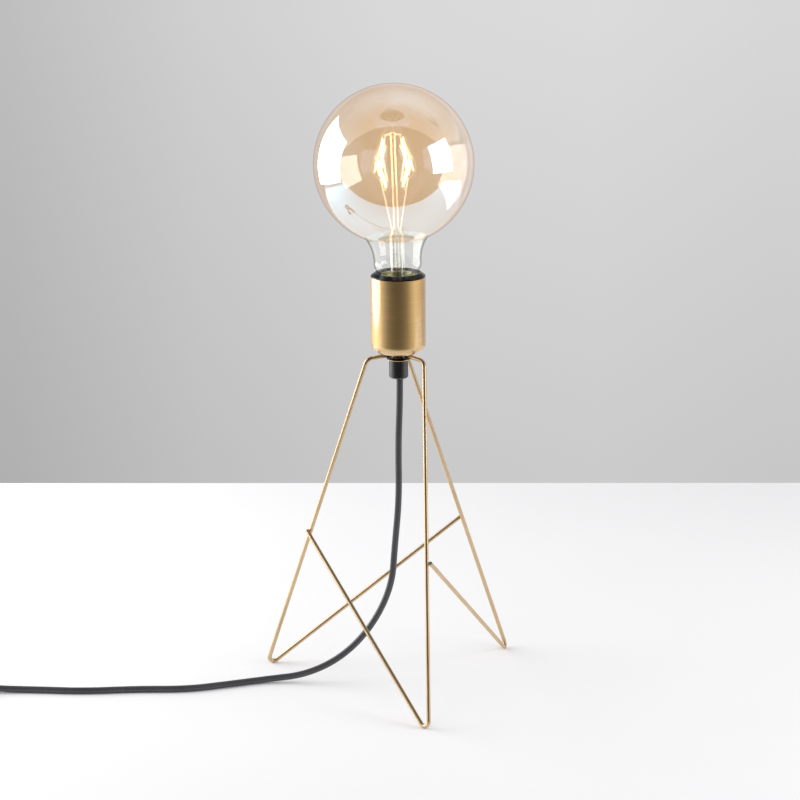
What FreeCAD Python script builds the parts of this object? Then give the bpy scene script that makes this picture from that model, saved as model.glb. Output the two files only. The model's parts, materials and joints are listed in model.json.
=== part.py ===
"""Table lamp on a tripod of bent wire, with a metal cup holder, a round globe bulb and a corded switch.

Lengths are in millimetres and angles in degrees. The lamp stands on the plane Z = 0, its axis is the
Z axis, and the viewer of the picture looks along +Y. A place round the axis is a reach and an azimuth.
"""

import FreeCAD, Part
import math
import os

# Tripod: three bent wires on a washer
leg_names = ["right", "left", "front"]
wire_d = 3.2
first_leg_azimuth = 40.4
foot_corner_radius = 118.5
foot_bend_radius = 4.0
top_corner_radius = 26.3
top_corner_twist = 38.75
top_bend_radius = 6.5
top_run_droop = 5.5
wire_end_radius = 6.4
lap_height = 120.2
lap_overrun = 1.0
settle_rounds = 12
hub_height = 269.02
washer_d = 19.0
washer_thickness = 2.2
washer_edge_radius = 0.5

# Hollow threaded nipple, its bush and the cord grip
nipple_d = 10.0
nipple_bore_d = 7.8
thread_play = 0.05
hole_play = 0.3
bush_d = 14.0
bush_height = 9.0
bush_play = 0.1
grub_d = 3.0
grip_d = 15.0
grip_height = 14.92
grip_chamfer = 1.0
grip_bore_d = 7.6
grip_thread_depth = 7.0
clamp_screw_d = 4.0
clamp_azimuth = 150.0
clamp_height_share = 0.3

# Metal cup
cup_d = 43.2
cup_height = 60.95
cup_wall = 0.8
cup_corner_radius = 8.0
cup_lip_radius = 0.3

# Insert of the holder: base, barrel, contacts and terminals
insert_play = 0.2
base_height = 27.0
base_corner_radius = 8.0
cavity_d = 16.0
pocket_near_x = 9.2
pocket_far_x = 17.2
pocket_width = 9.0
pocket_depth = 9.0
block_length = 7.0
block_width = 7.0
block_height = 6.0
terminal_screw_d = 3.0
terminal_head_d = 5.4
terminal_head_height = 1.8
slot_depth = 0.5
plate_thickness = 3.5
barrel_bore_d = 28.4
funnel_top_d = 34.8
funnel_depth = 5.6
lip_top_d = 36.4
lip_height = 3.25
lip_edge_radius = 0.3
flange_inset = 0.1
flange_height = 0.9
strip_thickness = 0.5
strip_width = 6.0
strip_bend_radius = 0.35
contact_play = 0.1
contact_height = 4.68
tongue_slope_length = 5.0
tongue_tail_length = 4.0
tongue_tail_depth = 1.4

# Edison thread of the cap and of the socket shell
thread_pitch = 3.629
thread_mean_d = 25.2
thread_offset = 0.5
thread_steps = 12
thread_gap = 0.2
shell_wall = 0.35
shell_height = 25.8

# Bulb
cap_collar_d = 26.6
cap_collar_height = 2.7
cap_thread_length = 16.0
cap_bore_d = 23.2
cap_length = 26.8
insulator_lip_height = 2.0
insulator_play = 0.1
insulator_end_d = 11.6
bulb_contact_d = 9.8
bulb_contact_thickness = 1.5
bulb_contact_corner_radius = 0.7
bulb_lean = 1.85
globe_d = 125.0
globe_centre_height = 86.8
glass_wall = 0.8
neck_seat_d = 22.8
neck_seat_depth = 5.0
shoulder_d = 37.4
shoulder_height = 8.4
neck_middle_d = 38.6
neck_middle_height = 16.9
crease_d = 49.5
flare_play = 0.1
flare_thickness = 1.0
stem_tube_d = 11.4
stem_wall = 0.9
exhaust_d = 3.2
exhaust_end_depth = 6.5
pinch_foot_height = 31.0
pinch_height = 6.0
rod_d = 3.8
rod_height = 109.0
button_d = 5.0
filament_d = 2.0
filament_end_d = 1.2
filament_end_length = 2.0
filament_azimuths = [35.0, 145.0, 215.0, 325.0]
upper_top_radius = 8.5
upper_top_height = 108.8
upper_foot_radius = 13.5
upper_foot_height = 77.5
lower_top_radius = 16.6
lower_top_height = 92.5
lower_foot_radius = 7.2
lower_foot_height = 67.8
support_wire_d = 0.6
bow_radius = 17.6
bow_height = 88.0
pinch_wire_radius = 3.4
board_width = 16.0
board_height = 8.5
board_thickness = 1.2
board_foot_gap = 1.0
driver_can_d = 7.0
driver_can_length = 7.5
driver_chip_length = 5.0
driver_chip_width = 4.0
driver_chip_thickness = 1.6
lead_wire_x = 3.0

# Cord: a round two-core lead
cord_d = 5.2
cord_offset = 0.9
cord_tail_length = 32.0
core_d = 1.9
core_bend_radius = 3.0
cord_straight_length = 17.9
# Corners of the route from below the grip to the switch, chosen by hand along the picture's cord
hanging_route = [
    (-0.8, 0.2, 196.0),
    (-0.3, -0.6, 153.0),
    (-4.2, -0.4, 112.0),
    (-6.6, -1.8, 80.0),
    (-22.0, -2.6, 47.0),
    (-46.0, -7.0, 22.0),
    (-76.0, -8.4, 7.0),
    (-108.0, -6.4, 2.6),
    (-140.0, -18.0, 2.6),
    (-172.0, -28.4, 2.6),
    (-212.0, -27.4, 2.6),
    (-254.0, -31.4, 2.6),
    (-292.0, -27.2, 2.6),
    (-324.0, -26.3, 3.2),
    (-343.0, -26.0, 6.5),
    (-362.0, -26.0, 6.5),
]
# Corners from the switch to the coil, and from the coil to the plug
coil_entry_route = [
    (-402.0, -26.0, 6.5),
    (-417.0, -26.0, 6.5),
    (-432.0, -26.47, 3.7),
    (-445.8, -26.12, 3.7),
]
plug_route = [
    (-445.8, 45.72, 9.4),
    (-436.0, 45.97, 9.4),
    (-425.5, 46.2, 6.85),
    (-415.65, 47.94, 6.85),
]

# Coil of the put-away length, and its ties
coil_centre_x = -451.0
coil_centre_y = 9.8
coil_turns = 5.5
coil_inner_d = 40.22
coil_pitch = 5.7
coil_climb_turns = 0.5
coil_steps = 4
coil_gap_points = 5
tie_thickness = 0.9
tie_width = 3.6
tie_play = 0.2
tie_head_length = 5.0
tie_turns = [0.25, 0.75]

# Switch on the cord
switch_x = -382.0
switch_y = -26.0
switch_length = 62.0
switch_width = 25.0
switch_height = 17.0
switch_end_radius = 9.0
switch_wall = 1.6
switch_parting_height = 8.6
cord_height_in_switch = 6.5
entry_play = 0.15
rocker_pivot_height = 12.6
rocker_radius = 10.2
rocker_width = 11.4
rocker_end_height = 5.8
rocker_middle_height = 4.2
rocker_depth = 2.6
rocker_tilt = 10.0
rocker_play = 0.3
rocker_window_length = 20.0
pin_d = 2.0
pin_play = 0.05
pin_overhang = 2.4
toggle_width = 4.0
toggle_depth = 4.0
toggle_end_d = 2.0
seesaw_half_length = 8.5
seesaw_width = 2.4
seesaw_thickness = 0.6
seesaw_tilt = 6.0
seesaw_play = 0.15
contact_outer_x = 12.5
contact_inner_x = 6.0
contact_width = 5.0
fulcrum_width = 1.2
cord_end_x = 20.0
neutral_y = 4.6
switch_screw_x = 24.0
switch_screw_y = 7.6
switch_screw_d = 2.6
switch_screw_head_d = 4.8
switch_screw_head_height = 1.6
switch_post_d = 6.0
clamp_bar_x = 23.0
clamp_bar_length = 4.0
clamp_bar_width = 12.0

# Flat two-pin plug, turned so that its pins point clear of the feet
plug_turn = 10.0
plug_width = 35.3
plug_thickness = 13.7
plug_length = 36.0
plug_corner_radius = 5.0
plug_rear_width = 14.0
plug_rear_thickness = 11.0
plug_waist_share = 0.55
plug_waist_width = 25.0
pin_spacing = 18.6
plug_pin_d = 4.0
plug_pin_length = 19.0
pin_root_length = 6.0
sleeve_core_d = 2.8
sleeve_length = 10.0
relief_length = 24.0
relief_root_length = 4.0
relief_root_d = 9.4
relief_end_d = 6.4
relief_play = 0.1
cord_in_relief_length = 6.5

cut_overrun = 1.0
wire_r = wire_d / 2
cord_r = cord_d / 2
leg_count = len(leg_names)
full_turn = 360.0
coil_direction = -1

ORIGIN = FreeCAD.Vector(0, 0, 0)
UP = FreeCAD.Vector(0, 0, 1)
ACROSS = FreeCAD.Vector(1, 0, 0)
AWAY = FreeCAD.Vector(0, 1, 0)


def at(x, y, z):
    return FreeCAD.Vector(x, y, z)


def polar(reach, azimuth, height):
    angle = math.radians(azimuth)
    return at(reach * math.cos(angle), reach * math.sin(angle), height)


def unit(vector):
    return FreeCAD.Vector(vector).normalize()


def rounded_path(corners, radii, closed=False):
    """Straight runs through the corners, each corner rounded by a tangent arc of its own radius."""
    arcs, ends = [], []
    for i, (corner, radius) in enumerate(zip(corners, radii)):
        if radius == 0:
            arcs.append(None)
            ends.append((corner, corner))
            continue
        back = unit(corners[i - 1] - corner)
        on = unit(corners[(i + 1) % len(corners)] - corner)
        half = back.getAngle(on) / 2
        first = corner + back * (radius / math.tan(half))
        last = corner + on * (radius / math.tan(half))
        middle = corner + unit(back + on) * (radius / math.sin(half) - radius)
        arcs.append(Part.Arc(first, middle, last).toShape())
        ends.append((first, last))
    edges = []
    for i, arc in enumerate(arcs):
        if arc:
            edges.append(arc)
        if i + 1 < len(arcs) or closed:
            start, end = ends[i][1], ends[(i + 1) % len(ends)][0]
            edges.append(Part.LineSegment(start, end).toShape())
    return edges


def tube(edges, radius):
    """Solid round tube along tangent edges."""
    first = edges[0]
    start = first.valueAt(first.FirstParameter)
    ring = Part.Wire(Part.makeCircle(radius, start, first.tangentAt(first.FirstParameter)))
    return Part.Wire(edges).makePipeShell([ring], True, False)


def turned(outline):
    """Solid of revolution about Z from corners (radius, height, rounding)."""
    corners = [at(r, 0, z) for r, z, rounding in outline]
    edges = rounded_path(corners, [rounding for r, z, rounding in outline], closed=True)
    return turned_face(edges)


def turned_face(edges):
    return Part.Face(Part.Wire(edges)).revolve(ORIGIN, UP, full_turn)


def sleeve(outer_r, inner_r, low, high):
    """Plain ring or tube about Z."""
    return turned([(inner_r, low, 0), (outer_r, low, 0), (outer_r, high, 0), (inner_r, high, 0)])


def disc(radius, low, high, centre=ORIGIN):
    return Part.makeCylinder(radius, high - low, at(centre.x, centre.y, low), UP)


def rod(start, end, radius):
    return Part.makeCylinder(radius, start.distanceToPoint(end), start, end - start)


def block(low, high):
    """Box between two opposite corners."""
    size = high - low
    return Part.makeBox(size.x, size.y, size.z, low)


def strip(corners, radii, thickness, width):
    """Bent flat strip whose centre line lies in the XZ plane and whose width runs along Y."""
    edges = rounded_path(corners, radii)
    along = unit(corners[1] - corners[0])
    side = along.cross(AWAY)
    corner_ways = [(-1, -1), (1, -1), (1, 1), (-1, 1), (-1, -1)]
    outline = [
        corners[0] + side * (a * thickness / 2) + AWAY * (b * width / 2) for a, b in corner_ways
    ]
    return Part.Wire(edges).makePipeShell([Part.makePolygon(outline)], True, False)


def slab(length, width, low, high, rounding):
    """Upright block with rounded corners, centred on Z."""
    corners = [at(a * length / 2, b * width / 2, low) for a, b in [(-1, -1), (1, -1), (1, 1), (-1, 1)]]
    outline = Part.Wire(rounded_path(corners, [rounding] * len(corners), closed=True))
    return Part.Face(outline).extrude(UP * (high - low))


def joined(pieces):
    whole = pieces[0].fuse(pieces[1:])
    return whole.removeSplitter()


def group(pieces):
    return Part.makeCompound(pieces)


def save(name, shape):
    """One file for each sub-part."""
    shape.exportStep(f"parts/{name}.step")
    print(f"{name}: {len(shape.Solids)} solids, {shape.Volume:.1f} mm3, valid {shape.isValid()}")


# Tripod
def run_height(reach):
    """Height of the centre line of a wire's top run, which leans on the washer's edge."""
    return hub_height + wire_r + (washer_d / 2 - reach) * math.tan(math.radians(top_run_droop))


def leg_line(number, foot_height):
    """Foot corner and top corner of one wire."""
    azimuth = first_leg_azimuth + number * full_turn / leg_count
    foot = polar(foot_corner_radius, azimuth, foot_height)
    top = polar(top_corner_radius, azimuth + top_corner_twist, run_height(top_corner_radius))
    return foot, top


def lap_point(number, foot_height):
    """Centre of the wire where it lies against the outer side of the next leg clockwise."""
    foot = leg_line(number, foot_height)[0]
    other_foot, other_top = leg_line((number - 1) % leg_count, foot_height)
    share = (lap_height - other_foot.z) / (other_top.z - other_foot.z)
    on_leg = other_foot + (other_top - other_foot) * share
    beside = on_leg
    for settle in range(leg_count):
        outward = unit((other_top - other_foot).cross(beside - foot))
        beside = on_leg + outward * wire_d
    return beside


def foot_underside(number, foot_height):
    """Lowest point of the wire's surface in the bend at its foot."""
    foot, top = leg_line(number, foot_height)
    up = unit(top - foot)
    back = unit(lap_point(number, foot_height) - foot)
    half = up.getAngle(back) / 2
    centre = foot + unit(up + back) * (foot_bend_radius / math.sin(half))
    across = unit(up.cross(back))
    steepness = math.sqrt(UP.dot(UP) - across.z**2)
    return centre.z - foot_bend_radius * steepness - wire_r


def settled_foot_height():
    """Height of the foot corners that sets the bends on the floor."""
    height = 0
    for settle in range(settle_rounds):
        height -= foot_underside(0, height)
    return height


def leg_wire(number, foot_height):
    foot, top = leg_line(number, foot_height)
    twist_azimuth = first_leg_azimuth + number * full_turn / leg_count + top_corner_twist
    hub_end = polar(wire_end_radius, twist_azimuth, run_height(wire_end_radius))
    lap = lap_point(number, foot_height)
    lap_end = lap + unit(lap - foot) * lap_overrun
    corners = [hub_end, top, foot, lap_end]
    return tube(rounded_path(corners, [0, top_bend_radius, foot_bend_radius, 0]), wire_r)


def make_tripod():
    foot_height = settled_foot_height()
    print(f"foot corner height {foot_height:.3f}")
    for number, name in enumerate(leg_names):
        save(f"leg_wire_{name}", leg_wire(number, foot_height))
    hole_r = (nipple_d + hole_play) / 2
    outline = [
        (hole_r, hub_height - washer_thickness, 0),
        (washer_d / 2, hub_height - washer_thickness, washer_edge_radius),
        (washer_d / 2, hub_height, 0),
        (hole_r, hub_height, 0),
    ]
    save("hub_washer", turned(outline))


# Levels that several pieces share
cup_foot = run_height(wire_end_radius) + wire_r
cup_rim = cup_foot + cup_height
cup_floor = cup_foot + cup_wall
cup_inner_r = cup_d / 2 - cup_wall
insert_r = cup_inner_r - insert_play
grip_top = hub_height - washer_thickness
grip_foot = grip_top - grip_height
bush_top = cup_floor + bush_height
base_top = cup_floor + base_height
plate_top = base_top + plate_thickness
shell_foot = plate_top + strip_thickness
pocket_floor = base_top - pocket_depth
bulb_contact_foot = plate_top + contact_height
cap_top_height = bulb_contact_foot + cap_length


# Threaded nipple, bush, grip and cord end
def clamp_direction():
    return polar(1, clamp_azimuth, 0)


def cord_axis(height):
    """Centre of the cord in the grip, pushed aside by the clamp screw."""
    return at(0, 0, height) - clamp_direction() * cord_offset


def make_nipple():
    nipple_foot = grip_top - grip_thread_depth
    save("threaded_nipple", sleeve(nipple_d / 2, nipple_bore_d / 2, nipple_foot, bush_top))
    bush = sleeve(bush_d / 2, nipple_d / 2 + thread_play, cup_floor, bush_top)
    grub_height = cup_floor + bush_height / 2
    grub_hole = rod(at(0, 0, grub_height), at(bush_d, 0, grub_height), grub_d / 2 + thread_play)
    save("base_bush", bush.cut(grub_hole))
    grub_start = at(nipple_d / 2 + thread_play, 0, grub_height)
    grub_end = at(bush_d / 2 - bush_play, 0, grub_height)
    save("bush_grub_screw", rod(grub_start, grub_end, grub_d / 2))


def make_grip():
    body = turned(
        [
            (grip_bore_d / 2, grip_foot, 0),
            (grip_d / 2 - grip_chamfer, grip_foot, 0),
            (grip_d / 2, grip_foot + grip_chamfer, 0),
            (grip_d / 2, grip_top, 0),
            (nipple_d / 2 + thread_play, grip_top, 0),
            (nipple_d / 2 + thread_play, grip_top - grip_thread_depth, 0),
            (grip_bore_d / 2, grip_top - grip_thread_depth, 0),
        ]
    )
    height = grip_foot + grip_height * clamp_height_share
    way = clamp_direction()
    hole = rod(at(0, 0, height), at(0, 0, height) + way * grip_d, clamp_screw_d / 2 + thread_play)
    save("cord_grip", body.cut(hole))
    screw_start = cord_axis(height) + way * (cord_r + contact_play)
    screw_end = at(0, 0, height) + way * (grip_d / 2 - contact_play)
    save("grip_clamp_screw", rod(screw_start, screw_end, clamp_screw_d / 2))


def make_cord_tail():
    tail_top = grip_foot + cord_tail_length
    save("cord_tail", disc(cord_r, grip_foot, tail_top, cord_axis(0)))
    core_name = {1: "live_core", -1: "neutral_core"}
    for side, name in core_name.items():
        start = cord_axis(tail_top) + ACROSS * (side * core_d / 2)
        entry = pocket_floor + contact_play + core_d / 2
        rise = at(start.x, start.y, entry)
        end = at(side * (pocket_near_x + core_d / 2), start.y, entry)
        save(name, tube(rounded_path([start, rise, end], [0, core_bend_radius, 0]), core_d / 2))


# Metal cup and the insert in it
def make_cup():
    outer_r, hole_r = cup_d / 2, (nipple_d + hole_play) / 2
    outline = [
        (hole_r, cup_foot, 0),
        (outer_r, cup_foot, cup_corner_radius),
        (outer_r, cup_rim, cup_lip_radius),
        (cup_inner_r, cup_rim, cup_lip_radius),
        (cup_inner_r, cup_floor, cup_corner_radius - cup_wall),
        (hole_r, cup_floor, 0),
    ]
    save("holder_cup", turned(outline))


def pocket(side):
    low = at(min(side * pocket_near_x, side * pocket_far_x), -pocket_width / 2, pocket_floor)
    high = at(max(side * pocket_near_x, side * pocket_far_x), pocket_width / 2, base_top + cut_overrun)
    return block(low, high)


def make_base():
    outline = [
        (bush_d / 2 + bush_play, cup_floor, 0),
        (insert_r, cup_floor, base_corner_radius),
        (insert_r, base_top, 0),
        (cavity_d / 2, base_top, 0),
        (cavity_d / 2, bush_top, 0),
        (bush_d / 2 + bush_play, bush_top, 0),
    ]
    base = turned(outline)
    for side in (-1, 1):
        reach = side * (pocket_near_x + cut_overrun)
        floor = pocket_floor
        channel_low = at(min(0, reach), -core_d, floor)
        channel_high = at(max(0, reach), core_d, base_top + cut_overrun)
        base = base.cut(pocket(side)).cut(block(channel_low, channel_high))
    save("socket_base", base)


def make_barrel():
    lip_top, flange_r = cup_rim + lip_height, cup_d / 2 - flange_inset
    outline = [
        (0, base_top, 0),
        (insert_r, base_top, 0),
        (insert_r, cup_rim, 0),
        (flange_r, cup_rim, 0),
        (flange_r, cup_rim + flange_height, lip_edge_radius),
        (lip_top_d / 2, lip_top, lip_edge_radius),
        (funnel_top_d / 2, lip_top, lip_edge_radius),
        (barrel_bore_d / 2, lip_top - funnel_depth, 0),
        (barrel_bore_d / 2, plate_top, 0),
        (0, plate_top, 0),
    ]
    barrel = turned(outline)
    for side in (-1, 1):
        inner = side * (contact_leg_x() - strip_thickness / 2 - contact_play)
        outer = side * (contact_leg_x() + strip_thickness / 2 + contact_play)
        low = at(min(inner, outer), -strip_width / 2 - contact_play, base_top - cut_overrun)
        high = at(max(inner, outer), strip_width / 2 + contact_play, plate_top + cut_overrun)
        barrel = barrel.cut(block(low, high))
    save("socket_barrel", barrel)


def contact_leg_x():
    """Reach of the strips' legs, which lie against the inner faces of the terminal blocks."""
    return block_near() - strip_thickness / 2


def block_near():
    return pocket_near_x + strip_thickness + slot_depth


def strip_leg_foot():
    return pocket_floor + core_d + 2 * contact_play


def make_contacts():
    leg, low = contact_leg_x(), strip_leg_foot()
    level = plate_top + strip_thickness / 2
    peak = bulb_contact_foot - contact_play - strip_thickness / 2
    tongue = [
        at(leg, 0, low),
        at(leg, 0, level),
        at(tongue_slope_length, 0, level),
        at(0, 0, peak),
        at(-tongue_tail_length, 0, peak - tongue_tail_depth),
    ]
    tongue_bends = [0, strip_bend_radius, strip_bend_radius, strip_bend_radius, 0]
    save("centre_contact", strip(tongue, tongue_bends, strip_thickness, strip_width))
    shell_reach = thread_mean_d / 2 + thread_gap + shell_wall
    side = [at(-leg, 0, low), at(-leg, 0, level), at(-shell_reach, 0, level)]
    save("shell_contact", strip(side, [0, strip_bend_radius, 0], strip_thickness, strip_width))


def make_terminals():
    near = block_near()
    middle = near + block_length / 2
    foot = pocket_floor + contact_play
    blocks, screws = [], []
    for side in (-1, 1):
        low = at(min(side * near, side * (near + block_length)), -block_width / 2, foot)
        high = at(max(side * near, side * (near + block_length)), block_width / 2, foot + block_height)
        hole = disc(terminal_screw_d / 2 + thread_play, foot + block_height / 2, high.z + cut_overrun)
        hole.translate(ACROSS * (side * middle))
        blocks.append(block(low, high).cut(hole))
        shank = disc(terminal_screw_d / 2, foot + block_height / 2 + contact_play, high.z)
        head = disc(terminal_head_d / 2, high.z, high.z + terminal_head_height)
        screw = joined([shank, head])
        screw.translate(ACROSS * (side * middle))
        screws.append(screw)
    save("terminal_blocks", group(blocks))
    save("terminal_screws", group(screws))


# Round thread: a circle whose centre goes round the axis once in each pitch
def thread_body(radius, low, high):
    count = math.ceil((high - low) / thread_pitch * thread_steps)
    rings = []
    for step in range(count + 1):
        height = low + (high - low) * step / count
        turn = full_turn * (height - shell_foot) / thread_pitch
        rings.append(Part.Wire(Part.makeCircle(radius, polar(thread_offset, turn, height), UP)))
    return Part.makeLoft(rings, True, True)


def make_screw_shell():
    inner_r = thread_mean_d / 2 + thread_gap
    top = shell_foot + shell_height
    outside = thread_body(inner_r + shell_wall, shell_foot, top)
    inside = thread_body(inner_r, shell_foot - cut_overrun, top + cut_overrun)
    save("screw_shell", outside.cut(inside))


# Bulb
def make_cap():
    collar_foot = cap_top_height - cap_collar_height
    thread_foot = collar_foot - cap_thread_length
    thread = thread_body(thread_mean_d / 2, thread_foot, collar_foot + cut_overrun)
    collar = disc(cap_collar_d / 2, collar_foot, cap_top_height)
    bore = disc(cap_bore_d / 2, thread_foot - cut_overrun, cap_top_height + cut_overrun)
    save("bulb_cap", joined([thread, collar]).cut(bore))
    lip_r = cap_bore_d / 2 - insulator_play
    cone_foot = bulb_contact_foot + bulb_contact_thickness
    cone = [
        (0, thread_foot + insulator_lip_height, 0),
        (lip_r, thread_foot + insulator_lip_height, 0),
        (lip_r, thread_foot, 0),
        (insulator_end_d / 2, cone_foot, 0),
        (0, cone_foot, 0),
    ]
    save("bulb_insulator", turned(cone))
    dot = [
        (0, bulb_contact_foot, 0),
        (bulb_contact_d / 2, bulb_contact_foot, bulb_contact_corner_radius),
        (bulb_contact_d / 2, cone_foot, 0),
        (0, cone_foot, 0),
    ]
    save("bulb_centre_contact", turned(dot))
    return thread_foot


def leaned(shape):
    """From the bulb's own frame, with its origin at the top of the cap, to the lamp's."""
    shape.rotate(ORIGIN, AWAY, -bulb_lean)
    shape.translate(UP * cap_top_height)
    return shape


def envelope_outline(inset):
    """Half outline of the glass from its seat in the cap to the top, moved in by the wall."""
    globe_r = globe_d / 2 - inset
    seat_r, shoulder_r = neck_seat_d / 2 - inset, shoulder_d / 2 - inset
    crease_r = crease_d / 2 - inset
    crease_height = globe_centre_height - math.sqrt(globe_r**2 - crease_r**2)
    seat = at(seat_r, 0, -neck_seat_depth)
    turn_r = shoulder_d / 2 - neck_seat_d / 2
    low = at(seat_r, 0, shoulder_height - turn_r)
    diagonal = turn_r * math.sqrt(2) / 2
    middle = at(seat_r + diagonal, 0, shoulder_height - diagonal)
    shoulder = at(shoulder_r, 0, shoulder_height)
    neck_middle = at(neck_middle_d / 2 - inset, 0, neck_middle_height)
    crease = at(crease_r, 0, crease_height)
    side = at(globe_r, 0, globe_centre_height)
    top = at(0, 0, globe_centre_height + globe_r)
    return [
        Part.LineSegment(seat, low).toShape(),
        Part.Arc(low, middle, shoulder).toShape(),
        Part.Arc(shoulder, neck_middle, crease).toShape(),
        Part.Arc(crease, side, top).toShape(),
    ]


def make_glass():
    outer, inner = envelope_outline(0), envelope_outline(glass_wall)
    rim = Part.LineSegment(inner[0].Vertexes[0].Point, outer[0].Vertexes[0].Point).toShape()
    crown = Part.LineSegment(outer[-1].Vertexes[-1].Point, inner[-1].Vertexes[-1].Point).toShape()
    save("bulb_glass", leaned(turned_face([rim] + outer + [crown] + inner[::-1])))


def make_stem():
    flare_r = neck_seat_d / 2 - glass_wall - flare_play
    flare_foot = -neck_seat_depth
    tube_r, rod_r, exhaust_r = stem_tube_d / 2, rod_d / 2, exhaust_d / 2
    pinch_top = pinch_foot_height + pinch_height
    outline = [
        (0, -exhaust_end_depth, 0),
        (exhaust_r, -exhaust_end_depth, 0),
        (exhaust_r, pinch_foot_height, 0),
        (tube_r - stem_wall, pinch_foot_height, 0),
        (tube_r - stem_wall, flare_foot, 0),
        (flare_r, flare_foot, 0),
        (flare_r, flare_foot + flare_thickness, 0),
        (tube_r, flare_foot + flare_thickness, 0),
        (tube_r, pinch_foot_height, 0),
        (rod_r, pinch_top, 0),
        (rod_r, rod_height, 0),
        (button_d / 2, rod_height, 0),
        (button_d / 2, rod_height + button_d / 2, 0),
        (0, rod_height + button_d / 2, 0),
    ]
    save("bulb_stem", leaned(turned(outline)))


def filament(start, end):
    """One stick with a thinner metal tip at each end."""
    way = unit(end - start)
    tip = way * filament_end_length
    pieces = [
        rod(start, start + tip, filament_end_d / 2),
        rod(start + tip, end - tip, filament_d / 2),
        rod(end - tip, end, filament_end_d / 2),
    ]
    return joined(pieces)


def make_filaments():
    sticks, wires = [], []
    wire_half = support_wire_d / 2
    star = rod_height + button_d / 4
    for azimuth in filament_azimuths:
        upper_top = polar(upper_top_radius, azimuth, upper_top_height)
        upper_foot = polar(upper_foot_radius, azimuth, upper_foot_height)
        lower_top = polar(lower_top_radius, azimuth, lower_top_height)
        lower_foot = polar(lower_foot_radius, azimuth, lower_foot_height)
        sticks += [filament(upper_top, upper_foot), filament(lower_top, lower_foot)]
        pinch = polar(pinch_wire_radius, azimuth, pinch_foot_height + pinch_height / 4)
        bow = polar(bow_radius, azimuth, bow_height)
        share = (lower_foot_height - pinch.z) / (upper_foot.z - pinch.z)
        joint = pinch + (upper_foot - pinch) * share
        wires += [
            rod(polar(button_d / 2 + contact_play, azimuth, star), upper_top, wire_half),
            rod(upper_top, bow, wire_half),
            rod(bow, upper_foot, wire_half),
            rod(bow, lower_top, wire_half),
            rod(pinch, upper_foot, wire_half),
            rod(joint, lower_foot, wire_half),
        ]
    held = joined(wires).cut(group(sticks))
    stem_room = turned(
        [
            (0, pinch_foot_height, 0),
            (stem_tube_d / 2, pinch_foot_height, 0),
            (rod_d / 2, pinch_foot_height + pinch_height, 0),
            (0, pinch_foot_height + pinch_height, 0),
        ]
    )
    save("bulb_filaments", leaned(group(sticks)))
    save("bulb_support_wires", leaned(held.cut(stem_room)))


def make_driver(thread_foot):
    """Small board upright in the cap, with a can on its far side and two wires up the stem."""
    foot = thread_foot + insulator_lip_height + board_foot_gap
    top = foot + board_height
    half = board_thickness / 2
    board = block(at(-board_width / 2, -half, foot), at(board_width / 2, half, top))
    can_foot = at(-board_width / 4, half + driver_can_d / 2, foot + (board_height - driver_can_length) / 2)
    can = rod(can_foot, can_foot + UP * driver_can_length, driver_can_d / 2)
    chip_foot = at(board_width / 8, half, foot + driver_chip_width / 2)
    chip_size = at(driver_chip_width, driver_chip_thickness, driver_chip_length)
    save("driver_board", board)
    save("driver_components", group([can, block(chip_foot, chip_foot + chip_size)]))
    wires = []
    for side in (-1, 1):
        pinch_end = leaned(Part.Vertex(at(side * lead_wire_x, 0, pinch_foot_height))).Point
        wires.append(rod(at(side * lead_wire_x, 0, top), pinch_end, support_wire_d / 2))
    save("bulb_lead_wires", group(wires))


# Cord
def cord_radii(route):
    """Each corner's arc takes 0.45 of its shorter run."""
    arc_share = 0.45
    radii = [0]
    for before, corner, after in zip(route, route[1:], route[2:]):
        shorter = min(corner.distanceToPoint(before), corner.distanceToPoint(after))
        half_turn = (corner - before).getAngle(after - corner) / 2
        radii.append(arc_share * shorter / math.tan(half_turn))
    return radii + [0]


def save_cord(name, route):
    radii = cord_radii(route)
    edges = rounded_path(route, radii)
    shape = tube(edges, cord_r)
    length = sum(edge.Length for edge in edges)
    section = math.pi * cord_r**2
    print(f"{name} length {length:.1f}, volume share {shape.Volume / (section * length):.4f}")
    print(f"{name} radii", [round(radius) for radius in radii[1:-1]])
    save(name, shape)


def coil_radius(turn):
    """The turns spiral in to the middle of the cord's length, and out again on the layer above."""
    return coil_inner_d / 2 + coil_pitch * abs(turn - coil_turns / 2)


def coil_height(turn):
    low = cord_r + tie_thickness + tie_play
    climb = (turn - coil_turns / 2) / coil_climb_turns + 1 / 2
    share = min(max(climb, 0), 1)
    return low + coil_pitch * share**2 * (3 - 2 * share)


def coil_place(turn):
    azimuth = -full_turn / 4 + coil_direction * full_turn * turn
    place = polar(coil_radius(turn), azimuth, coil_height(turn))
    return place + at(coil_centre_x, coil_centre_y, 0)


def coil_heading(turn):
    step = 1 / full_turn
    return unit(coil_place(turn + step) - coil_place(turn - step))


def biarc(start, start_way, end, end_way):
    """Two tangent arcs from one place and direction to another."""
    gap, ways = end - start, start_way + end_way
    spread = 2 * (1 - start_way.dot(end_way))
    across = gap.dot(ways)
    reach = (math.sqrt(across**2 + spread * gap.dot(gap)) - across) / spread
    first_corner, last_corner = start + start_way * reach, end - end_way * reach
    joint = (first_corner + last_corner) / 2
    return [corner_arc(start, first_corner, joint), corner_arc(joint, last_corner, end)]


def corner_arc(start, corner, end):
    middle = (start + end) / 2
    half_chord = start.distanceToPoint(end) / 2
    lift = math.atan2(corner.distanceToPoint(middle), half_chord)
    crown = middle + unit(corner - middle) * (half_chord * math.tan(lift / 2))
    return Part.Arc(start, crown, end).toShape()


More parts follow.
